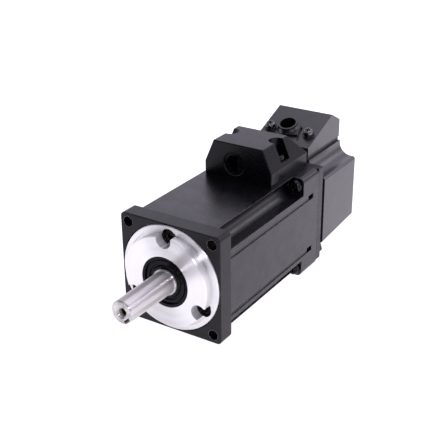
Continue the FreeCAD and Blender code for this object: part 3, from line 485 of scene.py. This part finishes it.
def sheetFinish():
    look = sheetLook
    material, tree, shader = newFinish("stackedSheets", look)
    _, station = fromShaft(tree)
    tooth = calc(tree, "PINGPONG", calc(tree, "DIVIDE", station, look["sheet"] * mm), 0.5)
    gaps = span(tree, tooth, 1.0, 0.0, end=look["slit"])
    tint = noise(tree, stretched(tree, look["stretch"]), look["tint"], detail=3.0)
    colour = tones(tree, span(tree, tint, 0.0, look["bluedShare"]), look["tone"], look["blued"])
    colour = tones(tree, gaps, colour, look["gap"])
    plug(tree, colour, shader.inputs["Base Color"])
    plug(tree, span(tree, tint, *look["rough"]), shader.inputs["Roughness"])
    plug(tree, bump(tree, tooth, look["relief"]), shader.inputs["Normal"])
    return material


# Enamelled winding wire: round turns side by side, read from the distance to the shaft axis

wireLook = {"tone": (0.58, 0.19, 0.07), "shade": (0.24, 0.07, 0.03), "wire": 0.55, "relief": 0.12,
            "waver": 3.0, "wander": 0.25,                # mm, and the share of a wire it moves
            "rough": (0.22, 0.36), "Metallic": 0.9, "Coat Weight": 0.6, "Coat Roughness": 0.15}


def wireFinish():
    look = wireLook
    material, tree, shader = newFinish("windingWire", look)
    radius, _ = fromShaft(tree)
    wander = noise(tree, objectPlace(tree), look["waver"], detail=2.0)
    turns = calc(tree, "DIVIDE", radius, look["wire"] * mm)
    turns = calc(tree, "ADD", turns, span(tree, wander, -look["wander"], look["wander"]))
    tooth = calc(tree, "PINGPONG", turns, 0.5)
    wires = calc(tree, "POWER", calc(tree, "MULTIPLY", tooth, 2.0), 0.5)
    # painted shade: each turn darkens from its crest towards its sides, where it meets the next
    colour = tones(tree, span(tree, wires, 0.0, 1.0, start=0.2, end=0.9), look["shade"], look["tone"])
    plug(tree, colour, shader.inputs["Base Color"])
    plug(tree, span(tree, wander, *look["rough"]), shader.inputs["Roughness"])
    plug(tree, bump(tree, wires, look["relief"]), shader.inputs["Normal"])
    return material


# Rubber and moulded plastics: fine matt texture with a little dust or flow

softLooks = {
    "sealRubber": {"tone": (0.003, 0.003, 0.004), "dust": (0.012, 0.011, 0.012), "texture": 0.30,
                   "relief": 0.003, "rough": (0.12, 0.18), "dusty": 0.20, "Specular IOR Level": 0.11},
    "whitePlastic": {"tone": (0.80, 0.79, 0.74), "dust": (0.62, 0.60, 0.55), "texture": 0.60,
                     "relief": 0.006, "rough": (0.38, 0.50), "dusty": 0.35, "Specular IOR Level": 0.5},
    "darkPlastic": {"tone": (0.012, 0.012, 0.013), "dust": (0.030, 0.029, 0.030), "texture": 0.60,
                    "relief": 0.006, "rough": (0.38, 0.50), "dusty": 0.35, "Specular IOR Level": 0.4},
    "cagePlastic": {"tone": (0.52, 0.40, 0.22), "dust": (0.38, 0.28, 0.15), "texture": 0.50,
                    "relief": 0.008, "rough": (0.40, 0.52), "dusty": 0.35, "Specular IOR Level": 0.5},
}
softFlow = 6.0    # mm across one patch of dust or flow


def softFinish(name):
    look = softLooks[name]
    material, tree, shader = newFinish(name, look)
    place = objectPlace(tree)
    texture = noise(tree, place, look["texture"], detail=3.0, roughness=0.6)
    flow = noise(tree, place, softFlow, detail=3.0, roughness=0.55)
    dusty = span(tree, flow, 0.0, look["dusty"], start=0.35, end=0.7)
    colour = tones(tree, dusty, look["tone"], look["dust"])
    plug(tree, colour, shader.inputs["Base Color"])
    plug(tree, spread(tree, flow, *look["rough"]), shader.inputs["Roughness"])
    plug(tree, bump(tree, texture, look["relief"]), shader.inputs["Normal"])
    return material


# Circuit board: green lacquer over tracks, with the glass fibre faintly through it

boardLook = {"lacquer": (0.012, 0.10, 0.035), "track": (0.03, 0.19, 0.06), "glass": (0.16, 0.17, 0.09),
             "cell": 2.4, "fibre": 0.8, "glassShare": 0.3, "relief": 0.03, "rough": (0.25, 0.40),
             "Coat Weight": 0.4, "Coat Roughness": 0.12}


def boardFinish():
    look = boardLook
    material, tree, shader = newFinish("greenBoard", look)
    cells = addNode(tree, "ShaderNodeTexVoronoi", {"Scale": 1 / (look["cell"] * mm)}, distance="MANHATTAN",
                    feature="DISTANCE_TO_EDGE")
    plug(tree, objectPlace(tree), cells.inputs["Vector"])
    tracks = span(tree, cells.outputs["Distance"], 1.0, 0.0, start=0.06, end=0.12)
    fibres = noise(tree, objectPlace(tree), look["fibre"], detail=3.0)
    colour = tones(tree, tracks, look["lacquer"], look["track"])
    glassy = span(tree, fibres, 0.0, look["glassShare"], start=0.5, end=0.8)
    colour = tones(tree, glassy, colour, look["glass"])
    plug(tree, colour, shader.inputs["Base Color"])
    plug(tree, span(tree, fibres, *look["rough"]), shader.inputs["Roughness"])
    plug(tree, bump(tree, tracks, look["relief"]), shader.inputs["Normal"])
    return material


finishes = {}
for looks, makeFinish in ((paintLooks, paintFinish), (turnedLooks, turnedFinish), (groundLooks, groundFinish),
                          (softLooks, softFinish), (blackSteelLooks, blackSteelFinish)):
    finishes.update({name: makeFinish(name) for name in looks})
finishes.update({"stackedSheets": sheetFinish(), "windingWire": wireFinish(), "greenBoard": boardFinish()})
print("finishes ready:", len(finishes))

finishOfSlot = {
    "black_paint": "motorPaint", "machined_aluminium": "turnedAluminium", "ground_steel": "groundSteel",
    "black_steel": "blackSteel", "bearing_steel": "bearingSteel", "lamination_steel": "stackedSheets",
    "magnet": "nickelPlate", "copper": "windingWire", "brass": "turnedBrass", "black_rubber": "sealRubber",
    "white_plastic": "whitePlastic", "dark_plastic": "darkPlastic", "cage_plastic": "cagePlastic",
    "board_green": "greenBoard", "disc_metal": "etchedDisc",
}
finishOfNode = {
    # nodes whose finish isn't their slot's own
    "encoder_cover": "coverPaint", "encoder_cap": "coverPaint", "encoder_outlet": "coverPaint",
    "terminal_box": "boxPaint", "rear_end_bell": "bellPaint", "front_flange": "flangePaint",
    "cap_gasket": "bellPaint",
}


def dressFrame():
    slots = {part["node"]: part["material_slot"] for part in frame["record"]["subparts"]}
    for name, node in frame["nodes"].items():
        finish = finishes[finishOfNode.get(name, finishOfSlot[slots[name]])]
        node.data.materials.clear()
        node.data.materials.append(finish)


dressFrame()
print("frame dressed")


# New pieces are drawn standing on Z, then set in place in the part's own frame

def standing(place, way, turn=0.0):
    # from a drawing that stands on Z to a place in mm and a direction
    spin = Vector((0, 0, 1)).rotation_difference(Vector(way))
    turned = Matrix.Rotation(math.radians(turn), 4, "Z")
    return Matrix.Translation(Vector(place) * mm) @ spin.to_matrix().to_4x4() @ turned


def lathe(bm, corners, steps):
    # a line of radius and height spun once round Z
    line = [bm.verts.new((radius * mm, 0, height * mm)) for radius, height in corners]
    edges = [bm.edges.new(pair) for pair in zip(line, line[1:])]
    bmesh.ops.spin(bm, geom=line + edges, cent=(0, 0, 0), axis=(0, 0, 1), angle=math.tau, steps=steps,
                   use_merge=True)
    bmesh.ops.remove_doubles(bm, verts=bm.verts, dist=0.002 * mm)


ridgeLook = {
    "steps": 18,        # round one turn
    "half": 0.44,       # of the pitch, from the crest to each foot
    "buried": 0.05,     # mm that the foot lies under the surface it stands on
}


def threadCoil(bm, root, crest, pitch, start, length):
    # a three-cornered ridge wound up round Z and closed at both ends
    steps, half = ridgeLook["steps"], ridgeLook["half"] * pitch
    corners = ((root, start - half), (crest, start), (root, start + half))
    line = [bm.verts.new((radius * mm, 0, height * mm)) for radius, height in corners]
    edges = [bm.edges.new((line[i], line[i - 1])) for i in range(3)]
    count = int(steps * length / pitch)
    bmesh.ops.spin(bm, geom=line + edges, cent=(0, 0, 0), axis=(0, 0, 1), angle=math.tau * count / steps,
                   steps=count, dvec=(0, 0, pitch / steps * mm))
    bmesh.ops.holes_fill(bm, edges=[edge for edge in bm.edges if edge.is_boundary], sides=3)


def withParts(faces):
    # faces with their edges and vertices, each once and in the order of the faces
    edges = dict.fromkeys(edge for face in faces for edge in face.edges)
    verts = dict.fromkeys(vert for face in faces for vert in face.verts)
    return faces + list(edges) + list(verts)


tipLook = {"length": 0.5, "drawnIn": 0.4}    # mm


def shankLine(look):
    # from under the head to the middle of the tip, which is drawn in a little
    core, tip = look["core"] / 2, -look["reach"]
    return [(core, 0), (core, tipLook["length"] + tip), (core - tipLook["drawnIn"], tip), (0, tip)]


roundLook = {
    "steps": 28,                # round the head
    "crown": (0.5, 0.985),      # of the radius and the height, where the dome begins to fall
    "shoulder": 0.9,            # of the height
    "foot": 0.10,               # of the height, and cut back as much
    "rounding": 0.42,           # of the height
}


def roundHead(bm, look):
    # low domed head and the core of its shank in one turned line, with the rim rounded off
    radius, height = look["head"] / 2, look["height"]
    across, up = roundLook["crown"]
    shoulder, foot = roundLook["shoulder"] * height, roundLook["foot"] * height
    line = [(0, height), (across * radius, up * height), (radius, shoulder), (radius, foot),
            (radius - foot, 0)]
    lathe(bm, line + shankLine(look), roundLook["steps"])
    level = shoulder * mm
    rim = [edge for edge in bm.edges if all(abs(vert.co.z - level) < 0.01 * mm for vert in edge.verts)]
    bmesh.ops.bevel(bm, geom=rim, affect="EDGES", offset=roundLook["rounding"] * height * mm, segments=4,
                    profile=0.5, material=-1)


crossLook = {
    "top": 0.8,                 # of the height, above which the crown lies
    "arm": 0.62,                # of the radius
    "floor": 0.66,              # of the mouth's width
    "dip": 0.35,                # mm that the middle of the floor lies deeper
}


def sinkCross(bm, look):
    # the crown is cut along the arms of a cross, and the cross is pushed in and tapered
    arm = crossLook["arm"] * look["head"] / 2 * mm
    wide = look["slot"] / 2 * mm
    height = look["height"] * mm
    top = crossLook["top"] * height
    for way in (Vector((1, 0, 0)), Vector((0, 1, 0))):
        for place in (-arm, -wide, wide, arm):
            crown = [face for face in bm.faces if face.calc_center_median().z > top]
            bmesh.ops.bisect_plane(bm, geom=withParts(crown), dist=1e-7, plane_co=way * place, plane_no=way)
    cross = []
    for face in bm.faces:
        spot = face.calc_center_median()
        near, far = sorted((abs(spot.x), abs(spot.y)))
        if spot.z > top and near < wide and far < arm:
            cross.append(face)
    made = bmesh.ops.extrude_face_region(bm, geom=withParts(cross))
    floor = [item for item in made["geom"] if isinstance(item, bmesh.types.BMVert)]
    bmesh.ops.scale(bm, vec=(crossLook["floor"], crossLook["floor"], 0), verts=floor)
    bmesh.ops.translate(bm, vec=(0, 0, height - look["deep"] * mm), verts=floor)
    centre = [vert for vert in floor if vert.co.xy.length < 0.01 * mm]
    bmesh.ops.translate(bm, vec=(0, 0, -crossLook["dip"] * mm), verts=centre)


socketLook = {
    "steps": 30,                                # round the head
    "lip": 0.2, "crown": 0.35, "foot": 0.15,    # mm of bevel
    "pointDeep": 0.4, "pointShare": 0.45,       # mm, and of the socket's width
}


def socketHead(bm, look):
    # tall turned head with a six-sided socket let into its top
    radius, height = look["head"] / 2, look["height"]
    lip, crown, foot = socketLook["lip"], socketLook["crown"], socketLook["foot"]
    line = [(look["socket"] / 2 + lip, height), (radius - crown, height), (radius, height - crown),
            (radius, foot), (radius - foot, 0)]
    lathe(bm, line + shankLine(look), socketLook["steps"])
    rim = [edge for edge in bm.edges if edge.is_boundary]
    made = bmesh.ops.create_circle(bm, segments=6, radius=look["socket"] / 2 * mm, cap_ends=False,
                                   matrix=Matrix.Translation((0, 0, (height - lip) * mm)))
    sides = [edge for edge in bm.edges if edge.verts[0] in made["verts"] and edge.verts[1] in made["verts"]]
    bmesh.ops.bridge_loops(bm, edges=rim + sides)
    for drop, share in ((look["deep"] - lip, 1.0), (socketLook["pointDeep"], socketLook["pointShare"])):
        made = bmesh.ops.extrude_edge_only(bm, edges=sides)["geom"]
        sides = [item for item in made if isinstance(item, bmesh.types.BMEdge)]
        verts = [item for item in made if isinstance(item, bmesh.types.BMVert)]
        bmesh.ops.translate(bm, vec=(0, 0, -drop * mm), verts=verts)
        bmesh.ops.scale(bm, vec=(share, share, 1), verts=verts)
    bmesh.ops.edgeloop_fill(bm, edges=sides)


sharpFrom = 34    # degrees between two faces


def finishPiece(name, drawings, finish, body, slot, *nodes):
    # drawings set in their places make one object, smooth but for its sharp edges
    bm = bmesh.new()
    for drawing, place in drawings:
        mesh = bpy.data.meshes.new("drawing")
        drawing.to_mesh(mesh)
        mesh.transform(place)
        bm.from_mesh(mesh)
        bpy.data.meshes.remove(mesh)
    bmesh.ops.recalc_face_normals(bm, faces=bm.faces)
    for face in bm.faces:
        face.smooth = True
    for edge in bm.edges:
        edge.smooth = edge.calc_face_angle(0.0) < math.radians(sharpFrom)
    mesh = bpy.data.meshes.new(name)
    bm.to_mesh(mesh)
    bm.free()
    piece = bpy.data.objects.new(name, mesh)
    bpy.context.scene.collection.objects.link(piece)
    mesh.materials.append(finishes[finish])
    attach(piece, body)
    if nodes:
        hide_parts(*nodes)


# Screws: sizes in mm, the way the heads face, and for each screw its seat and how far it is turned

threadSizes = {
    "m4": {"core": 3.24, "shank": 4.0, "pitch": 0.7},
    "m3": {"core": 2.46, "shank": 3.0, "pitch": 0.5},
}
screwLooks = {
    "endBellScrews": {
        "node": "end_bell_screws", "finish": "darkScrewSteel", "thread": "m4", "reach": 21.8,
        "head": 7.6, "height": 3.4, "slot": 1.1, "deep": 2.0, "way": (0, -1, 0),
        "seats": [((25.3, 84.5, 25.3), 20), ((-25.3, 84.5, 25.3), 65), ((25.3, 84.5, -25.3), 35),
                  ((-25.3, 84.5, -25.3), 80)]},
    "boxScrews": {
        "node": "terminal_box_screws", "finish": "darkScrewSteel", "thread": "m4", "reach": 15.6,
        "head": 7.4, "height": 2.8, "slot": 1.1, "deep": 1.7, "way": (0, 0, 1),
        "seats": [((15.0, 81.0, 40.0), 15), ((-15.0, 81.0, 40.0), 55)]},
    "capScrews": {
        "node": "cap_screws", "finish": "screwSteel", "thread": "m3", "reach": 9.8,
        "head": 5.8, "height": 2.4, "slot": 0.95, "deep": 1.45, "way": (0, -0.3709, 0.9287),
        "seats": [((12.5, 121.54, 41.79), 12), ((-12.5, 121.54, 41.79), 38)]},
    "coverScrews": {
        "node": "cover_screws", "finish": "darkScrewSteel", "thread": "m3", "reach": 43.4,
        "head": 5.8, "height": 2.2, "slot": 0.95, "deep": 1.35, "way": (0, 1, 0),
        "seats": [((24.7, 149.5, 13.0), 10), ((-24.7, 149.5, 13.0), 50), ((24.7, 149.5, -13.0), 75),
                  ((-24.7, 149.5, -13.0), 30)]},
    "hubScrews": {
        "node": "hub_screws", "finish": "darkScrewSteel", "thread": "m4", "reach": 14.3,
        "head": 7.0, "height": 4.0, "socket": 3.44, "deep": 2.2, "way": (0, -1, 0),
        "seats": [((0, 4.9, 23.2), 0), ((20.092, 4.9, -11.6), 20), ((-20.092, 4.9, -11.6), 40)]},
}
screwThread = {"fromTip": 1.0, "shorter": 1.8}    # mm, where it begins and how much shorter than the shank


def makeScrews(name):
    look = screwLooks[name]
    look = {**look, **threadSizes[look["thread"]]}
    bm = bmesh.new()
    if "socket" in look:
        socketHead(bm, look)
    else:
        roundHead(bm, look)
        sinkCross(bm, look)
    threadCoil(bm, look["core"] / 2 - ridgeLook["buried"], look["shank"] / 2, look["pitch"],
               screwThread["fromTip"] - look["reach"], look["reach"] - screwThread["shorter"])
    drawings = [(bm, standing(seat, look["way"], turn)) for seat, turn in look["seats"]]
    finishPiece(name, drawings, look["finish"], "motor_housing", "black_steel", look["node"])
    bm.free()


for name in screwLooks:
    makeScrews(name)
print("screws ready")


# Thread in the shaft's centre hole, sizes in mm

centreLook = {"bore": 4.2, "crest": 3.4, "pitch": 0.8, "mouth": -39.6, "start": 1.6, "length": 8.4}


def makeCentreThread():
    look = centreLook
    bm = bmesh.new()
    threadCoil(bm, look["bore"] / 2 + ridgeLook["buried"], look["crest"] / 2, look["pitch"], look["start"],
               look["length"])
    place = standing((0, look["mouth"], 0), (0, 1, 0))
    finishPiece("centreThread", [(bm, place)], "cutSteel", "rotor", "ground_steel")
    bm.free()


makeCentreThread()
print("centre thread ready")


# Floor, backdrop and lights

stageLook = {
    "size": 3.0, "squares": 8,    # metres from the middle to a side of the floor, and its squares each way
    "below": 0.2,                 # mm from the lowest point down to the floor
    "tone": (0.38, 0.37, 0.39), "speck": (0.34, 0.33, 0.35), "grain": 4.0, "rough": 0.7,
    "shine": (1.0, 0.965, 1.05), "glow": 0.95,
    "sky": (1.0, 0.95, 1.12), "skyStrength": 1.0,
}

skyShades = {
    # way it lies, degrees from its middle where it is full and where it ends, and the share of sky left
    "leftFront": {"way": (-0.55, -0.74, 0.37), "full": 22.0, "edge": 38.0, "left": 0.0},
    "besideLens": {"way": (0.40, -0.80, 0.38), "full": 20.0, "edge": 32.0, "left": 0.0},
    "belowLens": {"way": (0.20, -0.95, 0.17), "full": 10.0, "edge": 22.0, "left": 0.0},
    "rightBack": {"way": (0.66, 0.75, 0.08), "full": 12.0, "edge": 36.0, "left": 0.68},
    "overhead": {"way": (-0.49, 0.25, 0.84), "full": 16.0, "edge": 34.0, "left": 0.70},
}

softboxes = {
    # place, aim, size in metres, and brightness of the panel
    "topBox": {"place": (0.05, 0.35, 0.95), "aim": (0, 0.05, 0), "size": (0.8, 0.8), "glow": 1.0},
    "rightBox": {"place": (0.95, 0.45, 0.30), "aim": (0, 0.06, 0), "size": (0.7, 0.9), "glow": 0.8},
    "lensBox": {"place": (0.488, -0.757, 0.435), "aim": (0, 0, 0), "size": (0.10, 0.10), "glow": 62.0},
    "edgeBox": {"place": (0.44, 0.78, 0.49), "aim": (0, 0.05, 0), "size": (0.34, 0.34), "glow": 2.2},
    "backBox": {"place": (-0.49, 0.76, 0.44), "aim": (0, 0.05, 0), "size": (0.6, 0.6), "glow": 0.20},
}


def makeFloor():
    bm = bmesh.new()
    squares = stageLook["squares"]
    bmesh.ops.create_grid(bm, x_segments=squares, y_segments=squares, size=stageLook["size"])
    bmesh.ops.translate(bm, vec=(0, 0, cadBox[0].z - stageLook["below"] * mm), verts=bm.verts)
    mesh = bpy.data.meshes.new("floor")
    bm.to_mesh(mesh)
    bm.free()
    floor = bpy.data.objects.new("floor", mesh)
    bpy.context.scene.collection.objects.link(floor)
    material, tree, shader = newFinish("paleFloor", stageLook)
    speck = noise(tree, objectPlace(tree), stageLook["grain"], detail=3.0)
    plug(tree, tones(tree, speck, stageLook["tone"], stageLook["speck"]), shader.inputs["Base Color"])
    shader.inputs["Roughness"].default_value = stageLook["rough"]
    shader.inputs["Emission Color"].default_value = stageLook["shine"] + (1.0,)
    shader.inputs["Emission Strength"].default_value = stageLook["glow"]
    mesh.materials.append(material)


def makeSky():
    # even pale sky with a few soft darker areas, as in a studio
    world = bpy.data.worlds.new("studio")
    bpy.context.scene.world = world
    world.use_nodes = True
    tree = world.node_tree
    way = addNode(tree, "ShaderNodeTexCoord").outputs["Generated"]
    colour = stageLook["sky"]
    for shade in skyShades.values():
        off = dot(tree, way, Vector(shade["way"]).normalized())
        far, near = (math.cos(math.radians(shade[size])) for size in ("edge", "full"))
        share = span(tree, off, 0.0, 1.0 - shade["left"], far, near)
        colour = tones(tree, share, colour, (0.0, 0.0, 0.0))
    sky = tree.nodes["Background"]
    plug(tree, colour, sky.inputs["Color"])
    sky.inputs["Strength"].default_value = stageLook["skyStrength"]


def makeLights():
    for name, box in softboxes.items():
        data = bpy.data.lights.new(name, "AREA")
        data.shape = "RECTANGLE"
        data.size, data.size_y = box["size"]
        data.color = stageLook["sky"]
        data.energy = box["glow"] * math.pi * data.size * data.size_y
        lamp = bpy.data.objects.new(name, data)
        bpy.context.scene.collection.objects.link(lamp)
        lamp.location = box["place"]
        facing = Vector(box["aim"]) - Vector(box["place"])
        lamp.rotation_mode = "QUATERNION"
        lamp.rotation_quaternion = facing.to_track_quat("-Z", "Y")


makeFloor()
makeSky()
makeLights()
bpy.context.scene.view_settings.view_transform = "Standard"
print("stage ready")
